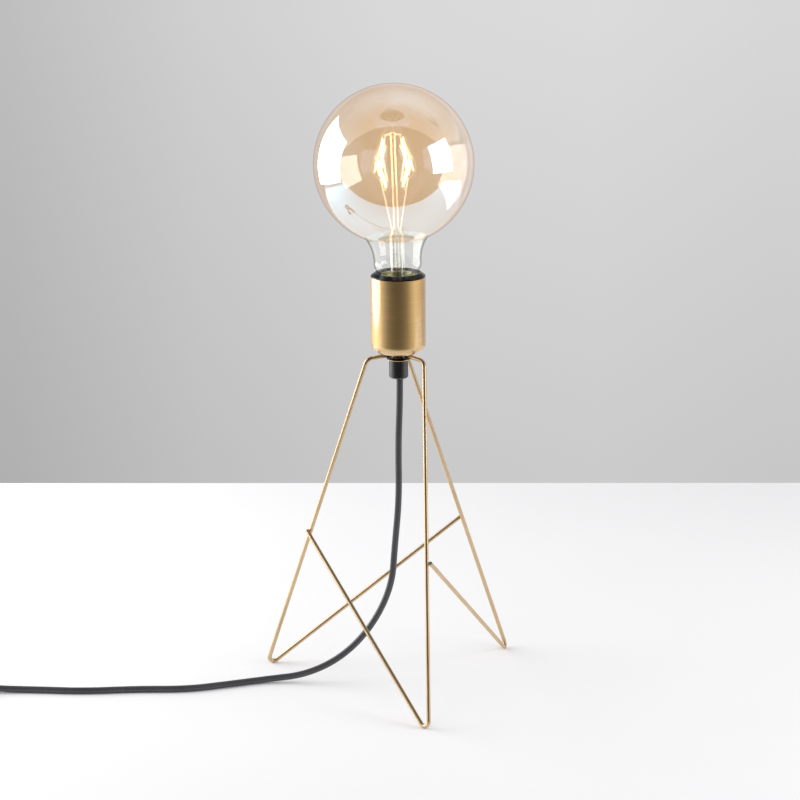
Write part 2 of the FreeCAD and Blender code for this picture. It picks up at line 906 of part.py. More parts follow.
def make_coil():
    count = round(coil_turns * coil_steps)
    turns = [coil_turns * step / count for step in range(count + 1)]
    level_start, level_end = unit(flat(coil_heading(0))), unit(flat(coil_heading(coil_turns)))
    ways = [level_start] + [coil_heading(turn) for turn in turns[1:-1]] + [level_end]
    places = [coil_place(turn) for turn in turns]
    edges = [Part.LineSegment(places[0] - ways[0] * cord_d, places[0]).toShape()]
    for i in range(count):
        edges += biarc(places[i], ways[i], places[i + 1], ways[i + 1])
    edges.append(Part.LineSegment(places[-1], places[-1] + ways[-1] * cord_d).toShape())
    shape = tube(edges, cord_r)
    length = sum(edge.Length for edge in edges)
    print(f"coil length {length:.1f}, volume share {shape.Volume / (math.pi * cord_r**2 * length):.4f}")
    print("coil starts", places[0] - ways[0] * cord_d, "ends", places[-1] + ways[-1] * cord_d)
    print(f"coil least gap to itself {least_gap(edges):.2f}")
    save("cord_coil", shape)
    make_ties()


def flat(vector):
    return at(vector.x, vector.y, 0)


def least_gap(edges):
    """Least distance between the surfaces of different turns, on points along the path."""
    step = cord_d / coil_gap_points
    points = Part.Wire(edges).discretize(Distance=step)
    half_inner_turn = round(math.pi * coil_inner_d / 2 / step)
    gap = coil_inner_d
    for i, point in enumerate(points):
        for other in points[: max(i - half_inner_turn, 0)]:
            gap = min(gap, point.distanceToPoint(other))
    return gap - cord_d


def make_ties():
    """Two straps round the bundle, on opposite sides of the coil, which it rests on."""
    ties = []
    low = coil_height(0) - cord_r - tie_play
    high = coil_height(coil_turns) + cord_r + tie_play
    for first_turn in tie_turns:
        strands = [first_turn + i for i in range(math.ceil(coil_turns)) if first_turn + i < coil_turns]
        reaches = [coil_radius(turn) for turn in strands]
        inner = min(reaches) - cord_r - tie_play
        outer = max(reaches) + cord_r + tie_play
        middle, half = (inner + outer) / 2, (outer - inner) / 2
        band = slab(2 * (half + tie_thickness), tie_width, low - tie_thickness, high + tie_thickness, 0)
        hole = slab(2 * half, tie_width + cut_overrun, low, high, 0)
        head_foot = high + tie_thickness
        head_top = head_foot + tie_head_length / 2
        head = slab(tie_head_length, tie_width + tie_thickness, head_foot, head_top, 0)
        tie = joined([band, head]).cut(hole)
        tie.translate(ACROSS * middle)
        tie.rotate(ORIGIN, UP, -full_turn / 4 + coil_direction * full_turn * first_turn)
        tie.translate(at(coil_centre_x, coil_centre_y, 0))
        ties.append(tie)
    save("coil_ties", group(ties))


# Switch on the cord, made about its own middle and then moved to its place
def in_place(shape):
    shape.translate(at(switch_x, switch_y, 0))
    return shape


def switch_room(low, high):
    inner_round = switch_end_radius - switch_wall
    return slab(switch_length - 2 * switch_wall, switch_width - 2 * switch_wall, low, high, inner_round)


def entry_hole():
    reach = switch_length / 2 + cut_overrun
    height = cord_height_in_switch
    return rod(at(-reach, 0, height), at(reach, 0, height), cord_r + entry_play)


def screw_places():
    return [at(side * switch_screw_x, side * switch_screw_y, 0) for side in (-1, 1)]


def make_switch_shells():
    base = slab(switch_length, switch_width, 0, switch_parting_height, switch_end_radius)
    base = base.cut(switch_room(switch_wall, switch_parting_height + cut_overrun))
    cover = slab(switch_length, switch_width, switch_parting_height, switch_height, switch_end_radius)
    cover = cover.cut(switch_room(switch_parting_height - cut_overrun, switch_height - switch_wall))
    window_width = rocker_width + 2 * rocker_play
    window = slab(rocker_window_length, window_width, switch_parting_height, switch_height + cut_overrun, 0)
    cover = cover.cut(window)
    cheek_y = window_width / 2 + switch_wall / 2
    for side in (-1, 1):
        cheek = slab(rocker_radius, switch_wall, switch_parting_height, switch_height - switch_wall, 0)
        cheek.translate(AWAY * (side * cheek_y))
        cover = cover.fuse(cheek)
    pivot_reach = window_width / 2 + pin_overhang
    pivot = rod(
        at(0, -pivot_reach, rocker_pivot_height),
        at(0, pivot_reach, rocker_pivot_height),
        pin_d / 2 + pin_play,
    )
    cover = cover.cut(pivot)
    for place in screw_places():
        post = disc(switch_post_d / 2, switch_wall, switch_parting_height, place)
        head_room = disc(switch_screw_head_d / 2 + pin_play, 0, switch_screw_head_height, place)
        shank_room = disc(switch_screw_d / 2 + pin_play, 0, switch_parting_height + cut_overrun, place)
        base = base.fuse(post).cut(head_room.fuse(shank_room))
        boss = disc(switch_post_d / 2, switch_parting_height, switch_height - switch_wall, place)
        room_foot = switch_parting_height - cut_overrun
        screw_room = disc(switch_screw_d / 2 + pin_play, room_foot, boss_top(), place)
        cover = cover.fuse(boss).cut(screw_room)
    save("switch_base", in_place(base.cut(entry_hole())))
    save("switch_cover", in_place(cover.cut(entry_hole())))


def boss_top():
    return (switch_parting_height + switch_height) / 2


def make_switch_screws():
    screws = []
    for place in screw_places():
        head = disc(switch_screw_head_d / 2, 0, switch_screw_head_height, place)
        shank = disc(switch_screw_d / 2, switch_screw_head_height, boss_top() - contact_play, place)
        screws.append(joined([head, shank]))
    save("switch_screws", in_place(group(screws)))


def make_rocker():
    """Rocker with a shallow V on top, pressed down on the lamp's side at rest."""
    pivot = at(0, 0, rocker_pivot_height)
    end_x = math.sqrt(rocker_radius**2 - rocker_end_height**2)
    foot_x = math.sqrt(rocker_radius**2 - rocker_depth**2)
    right_foot, left_foot = at(foot_x, 0, -rocker_depth), at(-foot_x, 0, -rocker_depth)
    right_end, left_end = at(end_x, 0, rocker_end_height), at(-end_x, 0, rocker_end_height)
    middle = at(0, 0, rocker_middle_height)
    edges = [
        Part.LineSegment(left_foot, right_foot).toShape(),
        Part.Arc(right_foot, at(rocker_radius, 0, 0), right_end).toShape(),
        Part.LineSegment(right_end, middle).toShape(),
        Part.LineSegment(middle, left_end).toShape(),
        Part.Arc(left_end, at(-rocker_radius, 0, 0), left_foot).toShape(),
    ]
    body = Part.Face(Part.Wire(edges)).extrude(AWAY * rocker_width)
    body.translate(AWAY * (-rocker_width / 2))
    toggle_foot = -rocker_depth - toggle_depth
    toggle = slab(toggle_width, toggle_width, toggle_foot, -rocker_depth, 0)
    nose_ends = [at(0, side * toggle_width / 2, toggle_foot) for side in (-1, 1)]
    nose = rod(nose_ends[0], nose_ends[1], toggle_end_d / 2)
    body = body.fuse(toggle).fuse(nose)
    pivot_hole = rod(at(0, -rocker_width, 0), at(0, rocker_width, 0), pin_d / 2 + pin_play)
    body = body.cut(pivot_hole)
    body.rotate(ORIGIN, AWAY, rocker_tilt)
    body.translate(pivot)
    save("switch_rocker", in_place(body))
    reach = (rocker_width + 2 * rocker_play) / 2 + switch_wall
    pin = rod(at(0, -reach, pivot.z), at(0, reach, pivot.z), pin_d / 2)
    save("rocker_pin", in_place(pin))


def seesaw_height():
    """The nose of the rocker just clears the level plate at the middle of its travel."""
    nose_foot = rocker_pivot_height - rocker_depth - toggle_depth - toggle_end_d / 2
    return nose_foot - seesaw_play - seesaw_thickness / 2


def contact_top():
    tip_drop = seesaw_half_length * math.tan(math.radians(seesaw_tilt))
    return seesaw_height() - seesaw_thickness / 2 - tip_drop - contact_play


def make_switch_contacts():
    """A plate tips on the lamp's contact, and its end drops on the mains contact."""
    half = contact_width / 2
    top = contact_top()
    mains = block(at(-contact_outer_x, -half, switch_wall), at(-contact_inner_x, half, top))
    lamp = block(at(-fulcrum_width / 2, -half, switch_wall), at(contact_outer_x, half, top))
    fulcrum_top = seesaw_height() - seesaw_thickness / 2 - contact_play
    fulcrum = block(at(-fulcrum_width / 2, -half, top), at(fulcrum_width / 2, half, fulcrum_top))
    save("switch_contacts", in_place(group([mains, joined([lamp, fulcrum])])))
    plate = slab(2 * seesaw_half_length, seesaw_width, -seesaw_thickness / 2, seesaw_thickness / 2, 0)
    plate.rotate(ORIGIN, AWAY, -seesaw_tilt)
    plate.translate(UP * seesaw_height())
    save("contact_seesaw", in_place(plate))


def make_switch_cores():
    """The live core ends on each contact, and the neutral one runs past them."""
    level = cord_height_in_switch
    low = contact_top() + contact_play + core_d / 2
    first, second = cord_end_x, cord_end_x - core_bend_radius
    y = core_d / 2
    cores = []
    for side in (-1, 1):
        last = side * (seesaw_half_length + core_d / 2)
        places = [
            at(side * first, -y, level),
            at(side * second, -y, level),
            at(side * contact_outer_x, -y, low),
            at(last, -y, low),
        ]
        cores.append(tube(rounded_path(places, [0, core_bend_radius, core_bend_radius, 0]), core_d / 2))
    half_way = [at(first, y, level), at(second, y, level), at(contact_outer_x, neutral_y, level)]
    other_way = [at(-place.x, place.y, place.z) for place in reversed(half_way)]
    bends = [0, core_bend_radius, core_bend_radius, core_bend_radius, core_bend_radius, 0]
    cores.append(tube(rounded_path(half_way + other_way, bends), core_d / 2))
    save("switch_cores", in_place(group(cores)))


def make_cord_clamps():
    """A bar under the cover presses on each cord end, between the screw posts."""
    bars = []
    bar_foot = cord_height_in_switch + cord_r + contact_play
    for side in (-1, 1):
        x = side * clamp_bar_x
        low = at(x - clamp_bar_length / 2, -clamp_bar_width / 2, bar_foot)
        high = at(x + clamp_bar_length / 2, clamp_bar_width / 2, switch_height - switch_wall)
        bar = block(low, high)
        for place in screw_places():
            bar = bar.cut(disc(switch_post_d / 2 + contact_play, 0, switch_height, place))
        bars.append(bar)
    save("cord_clamps", in_place(group(bars)))


# Plug, made about the middle of its rear end and then put on the end of its cord
def on_cord_end(shape):
    shape.translate(ACROSS * (relief_length - cord_in_relief_length))
    shape.rotate(ORIGIN, UP, plug_turn)
    shape.translate(flat(at(*plug_route[-1])))
    return shape


def plug_section(x, width, thickness):
    """Rounded cross-section of the plug's body."""
    rounding = min(plug_corner_radius, thickness / 2 - plug_pin_d / 4)
    ways = [(-1, -1), (1, -1), (1, 1), (-1, 1)]
    middle = plug_thickness / 2
    corners = [at(x, a * width / 2, middle + b * thickness / 2) for a, b in ways]
    return Part.Wire(rounded_path(corners, [rounding] * len(corners), closed=True))


def make_plug():
    rear = at(0, 0, plug_thickness / 2)
    face = rear + ACROSS * plug_length
    sections = [
        plug_section(face.x, plug_width, plug_thickness),
        plug_section(plug_length * (1 - plug_waist_share), plug_waist_width, plug_thickness),
        plug_section(rear.x, plug_rear_width, plug_rear_thickness),
    ]
    body = Part.makeLoft(sections, True, True)
    relief_root = rear + ACROSS * relief_root_length
    relief_hole = rod(rear - ACROSS * cut_overrun, relief_root, relief_root_d / 2 + relief_play)
    body = body.cut(relief_hole)
    pins, sleeves = [], []
    for side in (-1, 1):
        foot = face + AWAY * (side * pin_spacing / 2)
        root, neck = foot - ACROSS * pin_root_length, foot + ACROSS * sleeve_length
        tip = foot + ACROSS * plug_pin_length
        body = body.cut(rod(root, foot + ACROSS * cut_overrun, sleeve_core_d / 2))
        pin = joined([rod(root, neck, sleeve_core_d / 2), rod(neck, tip, plug_pin_d / 2)])
        tip_edges = [e for e in pin.Edges if e.BoundBox.XMin > tip.x - contact_play]
        pins.append(pin.makeFillet(plug_pin_d / 4, tip_edges))
        sleeves.append(rod(foot, neck, plug_pin_d / 2).cut(rod(foot, neck, sleeve_core_d / 2)))
    save("plug_body", on_cord_end(body))
    save("plug_pins", on_cord_end(group(pins)))
    save("pin_sleeves", on_cord_end(group(sleeves)))
    relief_end = rear - ACROSS * relief_length
    cone = Part.makeCone(relief_root_d / 2, relief_end_d / 2, relief_length, rear, ACROSS * -1)
    root_disc = rod(rear, relief_root, relief_root_d / 2)
    cord_room = rod(
        relief_end - ACROSS * cut_overrun,
        relief_end + ACROSS * cord_in_relief_length,
        cord_r + relief_play,
    )
    save("plug_strain_relief", on_cord_end(joined([root_disc, cone]).cut(cord_room)))


def main():
    os.makedirs("parts", exist_ok=True)
    make_tripod()
    make_nipple()
    make_grip()
    make_cord_tail()
    make_cup()
    make_base()
    make_barrel()
    make_contacts()
    make_terminals()
    make_screw_shell()
    thread_foot = make_cap()
    make_glass()
    make_stem()
    make_filaments()
    make_driver(thread_foot)
    grip_exit = [cord_axis(grip_foot), cord_axis(grip_foot - cord_straight_length)]
    save_cord("cord_hanging", grip_exit + [at(*place) for place in hanging_route])
    save_cord("cord_to_coil", [at(*place) for place in coil_entry_route])
    make_coil()
    save_cord("cord_to_plug", [at(*place) for place in plug_route])
    make_switch_shells()
    make_switch_screws()
    make_rocker()
    make_switch_contacts()
    make_switch_cores()
    make_cord_clamps()
    make_plug()


main()
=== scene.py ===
import bpy
import json
import math
from mathutils import Matrix, Vector


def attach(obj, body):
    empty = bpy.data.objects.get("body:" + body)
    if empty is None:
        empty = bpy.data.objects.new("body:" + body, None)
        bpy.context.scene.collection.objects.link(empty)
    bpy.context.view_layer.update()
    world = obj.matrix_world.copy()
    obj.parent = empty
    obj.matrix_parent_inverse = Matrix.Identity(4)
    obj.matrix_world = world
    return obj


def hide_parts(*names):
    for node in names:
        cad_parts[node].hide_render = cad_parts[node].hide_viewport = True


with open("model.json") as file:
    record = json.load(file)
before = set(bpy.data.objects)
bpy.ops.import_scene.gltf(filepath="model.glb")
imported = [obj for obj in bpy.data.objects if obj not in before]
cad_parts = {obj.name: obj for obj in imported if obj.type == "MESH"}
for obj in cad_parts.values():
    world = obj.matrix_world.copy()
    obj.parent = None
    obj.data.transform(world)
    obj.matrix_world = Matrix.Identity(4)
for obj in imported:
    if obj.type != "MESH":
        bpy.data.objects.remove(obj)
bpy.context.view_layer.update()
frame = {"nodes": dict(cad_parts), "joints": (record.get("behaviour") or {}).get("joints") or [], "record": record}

mm = 0.001
node_of = frame["nodes"]


# Node helpers: most of a noise lies between these two levels
noise_low, noise_high = 0.3, 0.7


def new_material(name):
    material = bpy.data.materials.new(name)
    material.use_nodes = True
    tree = material.node_tree
    tree.nodes.clear()
    return material, tree


def add(tree, kind, **settings):
    node = tree.nodes.new(kind)
    for name, value in settings.items():
        setattr(node, name, value)
    return node


def feed(tree, source, target):
    tree.links.new(source, target)


def number(tree, operation, *values):
    """A Math node whose inputs are sockets or numbers."""
    node = add(tree, "ShaderNodeMath", operation=operation)
    for value, target in zip(values, node.inputs):
        if isinstance(value, (int, float)):
            target.default_value = value
        else:
            feed(tree, value, target)
    return node.outputs[0]


def output(tree, shader):
    feed(tree, shader, add(tree, "ShaderNodeOutputMaterial").inputs["Surface"])


def noise(tree, scale, detail, stretch=(1, 1, 1)):
    """Noise on the piece's own coordinates, which are stretched per axis."""
    coordinates = add(tree, "ShaderNodeTexCoord")
    mapping = add(tree, "ShaderNodeMapping")
    mapping.inputs["Scale"].default_value = stretch
    texture = add(tree, "ShaderNodeTexNoise")
    texture.inputs["Scale"].default_value = scale
    texture.inputs["Detail"].default_value = detail
    feed(tree, coordinates.outputs["Object"], mapping.inputs["Vector"])
    feed(tree, mapping.outputs["Vector"], texture.inputs["Vector"])
    return texture.outputs["Fac"]


def between(tree, value, first, last, start=noise_low, end=noise_high):
    """A number that goes from the first to the last as the value goes from start to end."""
    node = add(tree, "ShaderNodeMapRange")
    feed(tree, value, node.inputs["Value"])
    node.inputs["From Min"].default_value = start
    node.inputs["From Max"].default_value = end
    node.inputs["To Min"].default_value = first
    node.inputs["To Max"].default_value = last
    return node.outputs["Result"]


def grey(level):
    return (level, level, level)


def ramped(tree, value, stops):
    """A colour that runs through the stops, each a place and a colour, as the value goes from 0 to 1."""
    ramp = add(tree, "ShaderNodeValToRGB")
    elements = ramp.color_ramp.elements
    elements[0].position, elements[1].position = stops[0][0], stops[-1][0]
    for place, colour in stops[1:-1]:
        elements.new(place)
    for element, (place, colour) in zip(elements, stops):
        element.color = (*colour, 1)
    feed(tree, value, ramp.inputs["Fac"])
    return ramp.outputs["Color"]


def two_colours(tree, value, dark, light, start=noise_low, end=noise_high):
    return ramped(tree, value, [(start, dark), (end, light)])


def tinted(tree, first, second):
    """One colour times another."""
    product = add(tree, "ShaderNodeMix", data_type="RGBA", blend_type="MULTIPLY")
    product.inputs["Factor"].default_value = 1
    feed(tree, first, product.inputs["A"])
    feed(tree, second, product.inputs["B"])
    return product.outputs["Result"]


def mixed(tree, share, first, second):
    """A colour that goes from the first to the second as the share goes from 0 to 1."""
    mix = add(tree, "ShaderNodeMix", data_type="RGBA")
    feed(tree, share, mix.inputs["Factor"])
    feed(tree, first, mix.inputs["A"])
    if isinstance(second, tuple):
        mix.inputs["B"].default_value = (*second, 1)
    else:
        feed(tree, second, mix.inputs["B"])
    return mix.outputs["Result"]


def bump(tree, value, depth, strength):
    node = add(tree, "ShaderNodeBump")
    node.inputs["Strength"].default_value = strength
    node.inputs["Distance"].default_value = depth
    feed(tree, value, node.inputs["Height"])
    return node.outputs["Normal"]


def turned_away(tree):
    """How far the face turns from the line of sight: 0 is square on, 1 is edge on."""
    weight = add(tree, "ShaderNodeLayerWeight")
    weight.inputs["Blend"].default_value = 0.5
    return weight.outputs["Facing"]


# Finishes of the solids
finishes = {}


def finish(name, dark, light, smooth, rough, metallic=0.0, ior=1.5, patch=60, grain=900, depth=0.02,
           grain_strength=0.3, stretch=(1, 1, 1), coat=0.0, coat_rough=0.12, coat_ior=1.5, shade=None,
           streaks=0.0):
    """A finish whose colour drifts in soft patches and whose gloss and surface have a fine grain.

    The roughness follows the grain from smooth to rough. The grain's depth is in millimetres.
    A shade is painted shade: it darkens the colour where shade falls. It is a function that makes it from the
    material's node tree.
    Streaks are how much darker the colour is in the low parts of the fine grain.
    """
    material, tree = new_material(name)
    shader = add(tree, "ShaderNodeBsdfPrincipled")
    patches = noise(tree, patch, 2.0)
    fine = noise(tree, grain, 3.0, stretch)
    colour = two_colours(tree, patches, dark, light)
    if shade:
        colour = tinted(tree, colour, shade(tree))
    if streaks:
        colour = tinted(tree, colour, two_colours(tree, fine, grey(1 - streaks), grey(1)))
    feed(tree, colour, shader.inputs["Base Color"])
    feed(tree, between(tree, fine, smooth, rough), shader.inputs["Roughness"])
    feed(tree, bump(tree, fine, depth * mm, grain_strength), shader.inputs["Normal"])
    shader.inputs["Metallic"].default_value = metallic
    shader.inputs["IOR"].default_value = ior
    shader.inputs["Coat Weight"].default_value = coat
    shader.inputs["Coat Roughness"].default_value = coat_rough
    shader.inputs["Coat IOR"].default_value = coat_ior
    output(tree, shader.outputs["BSDF"])
    finishes[name] = material


def painted_shade_near_axis(tree):
    """Painted shade: the wires are darker at their ends round the lamp's axis, in the shaded gap between the cup
    and the washer.
    """
    darkest, dark_r, bright_r = 0.04, 9.5 * mm, 15.5 * mm
    flat = add(tree, "ShaderNodeVectorMath", operation="MULTIPLY")
    flat.inputs[1].default_value = (1, 1, 0)
    feed(tree, add(tree, "ShaderNodeTexCoord").outputs["Object"], flat.inputs[0])
    radius = add(tree, "ShaderNodeVectorMath", operation="LENGTH")
    feed(tree, flat.outputs["Vector"], radius.inputs[0])
    return between(tree, radius.outputs["Value"], darkest, 1, dark_r, bright_r)


def painted_shade_above_edge(tree):
    """Painted shade: the washer's side is dark above its bright lower edge, in the shade under the cup."""
    darkest, edge_height, dark_height = 0.06, 267.25 * mm, 267.7 * mm
    place = add(tree, "ShaderNodeSeparateXYZ")
    feed(tree, add(tree, "ShaderNodeTexCoord").outputs["Object"], place.inputs["Vector"])
    return between(tree, place.outputs["Z"], 1, darkest, edge_height, dark_height)


# The wires' finish has painted shade at their ends round the lamp's axis.
finish("brass_wire", (0.66, 0.49, 0.29), (0.74, 0.55, 0.34), smooth=0.36, rough=0.46, metallic=1.0,
       patch=40, grain=1400, shade=painted_shade_near_axis)
finish("satin_brass", (0.79, 0.525, 0.21), (0.85, 0.56, 0.235), smooth=0.46, rough=0.52, metallic=1.0,
       patch=45, grain=1400, depth=0.03, grain_strength=0.5, stretch=(0.03, 0.03, 1), streaks=0.15,
       coat=1.0, coat_rough=0.05, coat_ior=2.0)
# The washer's finish has painted shade on its side under the cup.
finish("polished_brass", (0.7, 0.52, 0.28), (0.78, 0.58, 0.32), smooth=0.16, rough=0.22, metallic=1.0,
       depth=0.01, shade=painted_shade_above_edge)
finish("cap_brass", (0.7, 0.64, 0.24), (0.99, 0.95, 0.56), smooth=0.42, rough=0.52, metallic=1.0,
       patch=420, depth=0.01)
finish("brass", (0.68, 0.6, 0.26), (0.8, 0.72, 0.34), smooth=0.34, rough=0.44, metallic=1.0,
       patch=80, grain=700, depth=0.01)
finish("steel", (0.46, 0.46, 0.46), (0.58, 0.58, 0.57), smooth=0.22, rough=0.36, metallic=1.0,
       patch=90, grain=1200, depth=0.01)
finish("nickel", (0.62, 0.6, 0.56), (0.72, 0.7, 0.66), smooth=0.1, rough=0.2, metallic=1.0,
       patch=90, grain=800, depth=0.01)
finish("black_plastic", (0.005, 0.005, 0.006), (0.009, 0.009, 0.01), smooth=0.08, rough=0.14,
       patch=70, ior=1.42)
finish("grip_plastic", (0.006, 0.006, 0.008), (0.011, 0.011, 0.014), smooth=0.24, rough=0.28,
       patch=70, grain=1500, depth=0.005, ior=1.85)
finish("switch_plastic", (0.009, 0.009, 0.01), (0.015, 0.015, 0.016), smooth=0.2, rough=0.3)
finish("plug_plastic", (0.01, 0.01, 0.011), (0.018, 0.018, 0.019), smooth=0.38, rough=0.52, grain=1600)
finish("tie_plastic", (0.012, 0.012, 0.013), (0.02, 0.02, 0.022), smooth=0.3, rough=0.42, grain=1200)
finish("board", (0.5, 0.46, 0.32), (0.6, 0.56, 0.42), smooth=0.35, rough=0.5, patch=120)
finish("core_brown", (0.07, 0.025, 0.01), (0.1, 0.04, 0.016), smooth=0.3, rough=0.4, patch=80)
finish("core_blue", (0.01, 0.05, 0.2), (0.02, 0.08, 0.28), smooth=0.3, rough=0.4, patch=80)
finish("cord_black", (0.047, 0.046, 0.05), (0.063, 0.062, 0.067), smooth=0.26, rough=0.34,
       patch=30, grain=700, depth=0.04)


# Glass
def thin_glass(name, passed, mirrored, mirrored_within=None):
    """One face of a thin wall: it lets light straight through and mirrors some.

    Both colours are stops over how far the face turns from the line of sight.
    Seen from within, through the wall, it can mirror a colour of its own.
    """
    patch, slightly_dim = 25, (0.99, 0.985, 0.98)
    material, tree = new_material(name)
    away = turned_away(tree)
    drift = two_colours(tree, noise(tree, patch, 2.0), slightly_dim, grey(1))
    through = add(tree, "ShaderNodeBsdfTransparent")
    feed(tree, tinted(tree, ramped(tree, away, passed), drift), through.inputs["Color"])
    mirror = add(tree, "ShaderNodeBsdfGlossy")
    mirror.inputs["Roughness"].default_value = 0.0
    shine = ramped(tree, away, mirrored)
    if mirrored_within:
        shine = mixed(tree, add(tree, "ShaderNodeNewGeometry").outputs["Backfacing"], shine, mirrored_within)
    feed(tree, shine, mirror.inputs["Color"])
    both = add(tree, "ShaderNodeAddShader")
    feed(tree, through.outputs["BSDF"], both.inputs[0])
    feed(tree, mirror.outputs["BSDF"], both.inputs[1])
    output(tree, both.outputs["Shader"])
    return material


amber = [(0.0, (1.0, 0.82, 0.605)), (0.74, (0.97, 0.8, 0.62)), (0.85, (0.87, 0.76, 0.65)),
         (0.92, (0.68, 0.61, 0.54))]
blue_sheen = [(0.0, (0.13, 0.25, 0.36)), (0.28, (0.16, 0.33, 0.46)), (0.5, (0.2, 0.36, 0.48)),
              (0.74, (0.24, 0.34, 0.4)), (0.86, (0.2, 0.19, 0.17))]
blue_within = (0.12, 0.183, 0.315)
nearly_clear = [(0.0, (0.995, 0.995, 0.99)), (1.0, grey(0.85))]
faint_sheen = [(0.0, grey(0.02)), (0.7, grey(0.04)), (1.0, grey(0.15))]
neck_clear = [(0.0, (0.97, 0.975, 0.965)), (0.6, (0.93, 0.94, 0.92)), (0.85, (0.45, 0.46, 0.42))]
neck_sheen = [(0.0, grey(0.06)), (0.5, grey(0.1)), (0.9, (0.2, 0.2, 0.18))]
stem_clear = [(0.0, (0.98, 0.985, 0.975)), (0.6, (0.95, 0.95, 0.93)), (0.95, (0.75, 0.76, 0.72))]
stem_sheen = [(0.0, grey(0.05)), (0.4, (0.12, 0.12, 0.115)), (0.9, (0.45, 0.45, 0.43))]
rod_sheen = [(0.0, grey(0.08)), (0.4, (0.24, 0.24, 0.23)), (0.9, (0.85, 0.85, 0.82))]

coat_outside = thin_glass("coated_glass", amber, blue_sheen, blue_within)
coat_inside = thin_glass("glass_inner_face", nearly_clear, faint_sheen)
neck_outside = thin_glass("neck_glass", neck_clear, neck_sheen)
stem_glass = thin_glass("clear_glass", stem_clear, stem_sheen)
rod_glass = thin_glass("rod_glass", stem_clear, rod_sheen)
finishes["clear_glass"] = stem_glass


# Glow
def lit_stick():
    """White-hot in the middle, yellow at its edge, with faint dots along it."""
    material, tree = new_material("lit_filament")
    away = turned_away(tree)
    dots = noise(tree, 500, 1.0)
    least, most = 4.0, 5.5
    colour = two_colours(tree, away, (1.0, 0.92, 0.66), (1.0, 0.68, 0.2), start=0.3, end=0.95)
    glow = add(tree, "ShaderNodeEmission")
    feed(tree, colour, glow.inputs["Color"])
    feed(tree, between(tree, dots, least, most), glow.inputs["Strength"])
    output(tree, glow.outputs["Emission"])
    return material


def wire_with_painted_glow():
    """Bright metal wire with a painted glow that stands in for the light of the lit sticks close to it."""
    smooth, rough, painted_glow_strength = 0.4, 0.5, 0.5
    material, tree = new_material("wire_with_painted_glow")
    shader = add(tree, "ShaderNodeBsdfPrincipled")
    grain = noise(tree, 900, 2.0)
    metal = two_colours(tree, grain, (0.86, 0.8, 0.62), (0.95, 0.9, 0.74))
    glow = two_colours(tree, grain, (1.0, 0.94, 0.86), (1.0, 0.98, 0.94))
    feed(tree, metal, shader.inputs["Base Color"])
    feed(tree, between(tree, grain, smooth, rough), shader.inputs["Roughness"])
    shader.inputs["Metallic"].default_value = 1.0
    # Painted light: the emission stands in for the lit sticks' light on the wire.
    feed(tree, glow, shader.inputs["Emission Color"])
    shader.inputs["Emission Strength"].default_value = painted_glow_strength
    output(tree, shader.outputs["BSDF"])
    return material


def glow_coat():
    """The soft yellow coat round a lit stick: brightest where the eye looks through its middle."""
    material, tree = new_material("filament_coat")
    least, most, steepness = 0.5, 0.65, 1.6
    thickness = number(tree, "SUBTRACT", 1, turned_away(tree))
    falloff = number(tree, "POWER", thickness, steepness)
    level = between(tree, noise(tree, 300, 1.0), least, most)
    glow = add(tree, "ShaderNodeEmission")
    glow.inputs["Color"].default_value = (1.0, 0.66, 0.2, 1)
    feed(tree, number(tree, "MULTIPLY", falloff, level), glow.inputs["Strength"])
    through = add(tree, "ShaderNodeBsdfTransparent")
    both = add(tree, "ShaderNodeAddShader")
    feed(tree, through.outputs["BSDF"], both.inputs[0])
    feed(tree, glow.outputs["Emission"], both.inputs[1])
    output(tree, both.outputs["Shader"])
    return material


# Dress the solids: three pieces differ from the rest of their slot
# The bulb's support wires get the finish with a painted glow.
finish_of = {"bulb_support_wires": "wire_with_painted_glow", "hub_washer": "polished_brass", "bulb_cap": "cap_brass"}
finishes["wire_with_painted_glow"] = wire_with_painted_glow()
for piece in frame["record"]["subparts"]:
    material = finishes.get(finish_of.get(piece["node"], piece["material_slot"]))
    if material:
        mesh = node_of[piece["node"]].data
        mesh.materials.clear()
        mesh.materials.append(material)


# Meshes
def mesh_object(name, points, faces, materials, face_material=None, smooth=True):
    mesh = bpy.data.meshes.new(name)
    mesh.from_pydata([tuple(p) for p in points], [], faces)
    for material in materials:
        mesh.materials.append(material)
    for i, face in enumerate(mesh.polygons):
        face.use_smooth = smooth
        if face_material:
            face.material_index = face_material[i]
    mesh.update()
    shown = bpy.data.objects.new(name, mesh)
    bpy.context.scene.collection.objects.link(shown)
    return shown


def gathered(name, parts, materials, kinds):
    """One mesh of several parts, each with the number of its material."""
    points, faces, indices = [], [], []
    for (part_points, part_faces), kind in zip(parts, kinds):
        faces += [[c + len(points) for c in face] for face in part_faces]
        points += part_points
        indices += [kind] * len(part_faces)
    return mesh_object(name, points, faces, materials, indices)


def lathe(outline, segments):
    """Points and faces of an outline of (radius, height) in millimetres turned about Z.

    An end on the axis is one point. The bands say between which of the outline's points each face lies.
    """
    points, rings, faces, bands = [], [], [], []
    for radius, height in outline:
        if radius == 0:
            rings.append([len(points)] * segments)
            points.append((0, 0, height * mm))
            continue
        rings.append(list(range(len(points), len(points) + segments)))
        for i in range(segments):
            angle = 2 * math.pi * i / segments
            points.append((radius * mm * math.cos(angle), radius * mm * math.sin(angle), height * mm))
    for band, (first, second) in enumerate(zip(rings, rings[1:])):
        for i in range(segments):
            on = (i + 1) % segments
            corners = [first[i], first[on], second[on], second[i]]
            face = [c for j, c in enumerate(corners) if c not in corners[:j]]
            if len(face) > 2:
                faces.append(face)
                bands.append(band)
    return points, faces, bands


